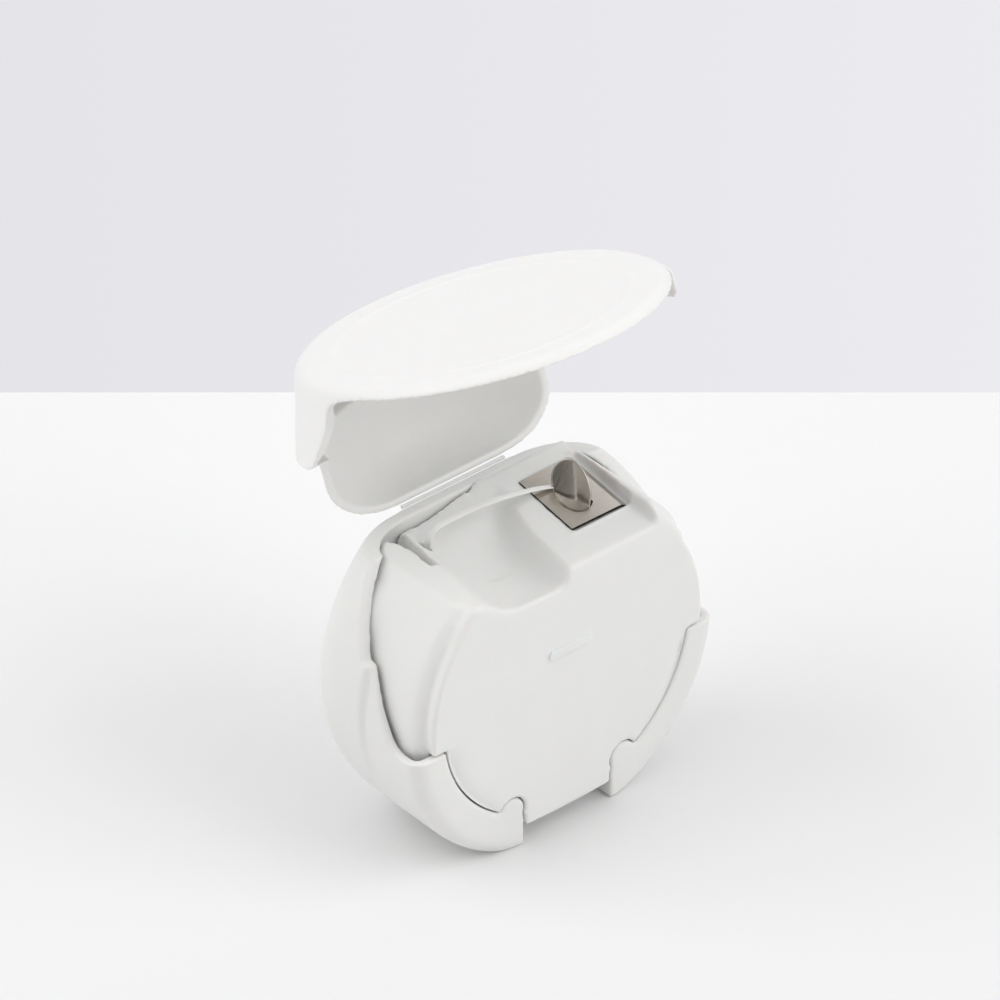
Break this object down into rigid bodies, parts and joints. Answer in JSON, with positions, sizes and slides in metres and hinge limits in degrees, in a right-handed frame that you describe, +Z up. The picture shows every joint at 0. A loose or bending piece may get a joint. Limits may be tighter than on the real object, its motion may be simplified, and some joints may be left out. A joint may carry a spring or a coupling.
{
  "type": "dental floss dispenser",
  "caption": "Round pocket dental floss dispenser with a hinged hood lid standing open, an inner cassette with a finger scoop, a steel cutter and a bobbin of floss inside.",
  "frame": {"origin": "middle of the flat base, on the surface that the dispenser stands on", "axes": "+Z up, -Y towards the cassette's face, +X towards the cutter's side"},
  "size_m": [0.052, 0.0452, 0.0777],
  "materials": {
    "shell_plastic": "satin",
    "cassette_plastic": "satin",
    "cutter_steel": "polished",
    "core_plastic": "matte",
    "floss": "matte"
  },
  "bodies": {
    "body": {"rear_shell": "shell_plastic", "hinge_web": "shell_plastic", "cassette": "cassette_plastic", "cutter": "cutter_steel", "floss_strand": "floss"},
    "lid": {"lid": "shell_plastic"},
    "bobbin": {"bobbin_core": "core_plastic", "floss_winding": "floss"}
  },
  "joints": [
    {"name": "lid_hinge", "type": "hinge", "parent": "body", "child": "lid", "pos_m": [0, 0.01155, 0.0411], "axis": [1, 0, 0], "range_deg": [-38, 112]},
    {"name": "bobbin_spin", "type": "hinge", "parent": "body", "child": "bobbin", "pos_m": [0, 0.001, 0.0194], "axis": [0, 1, 0], "continuous": true}
  ]
}
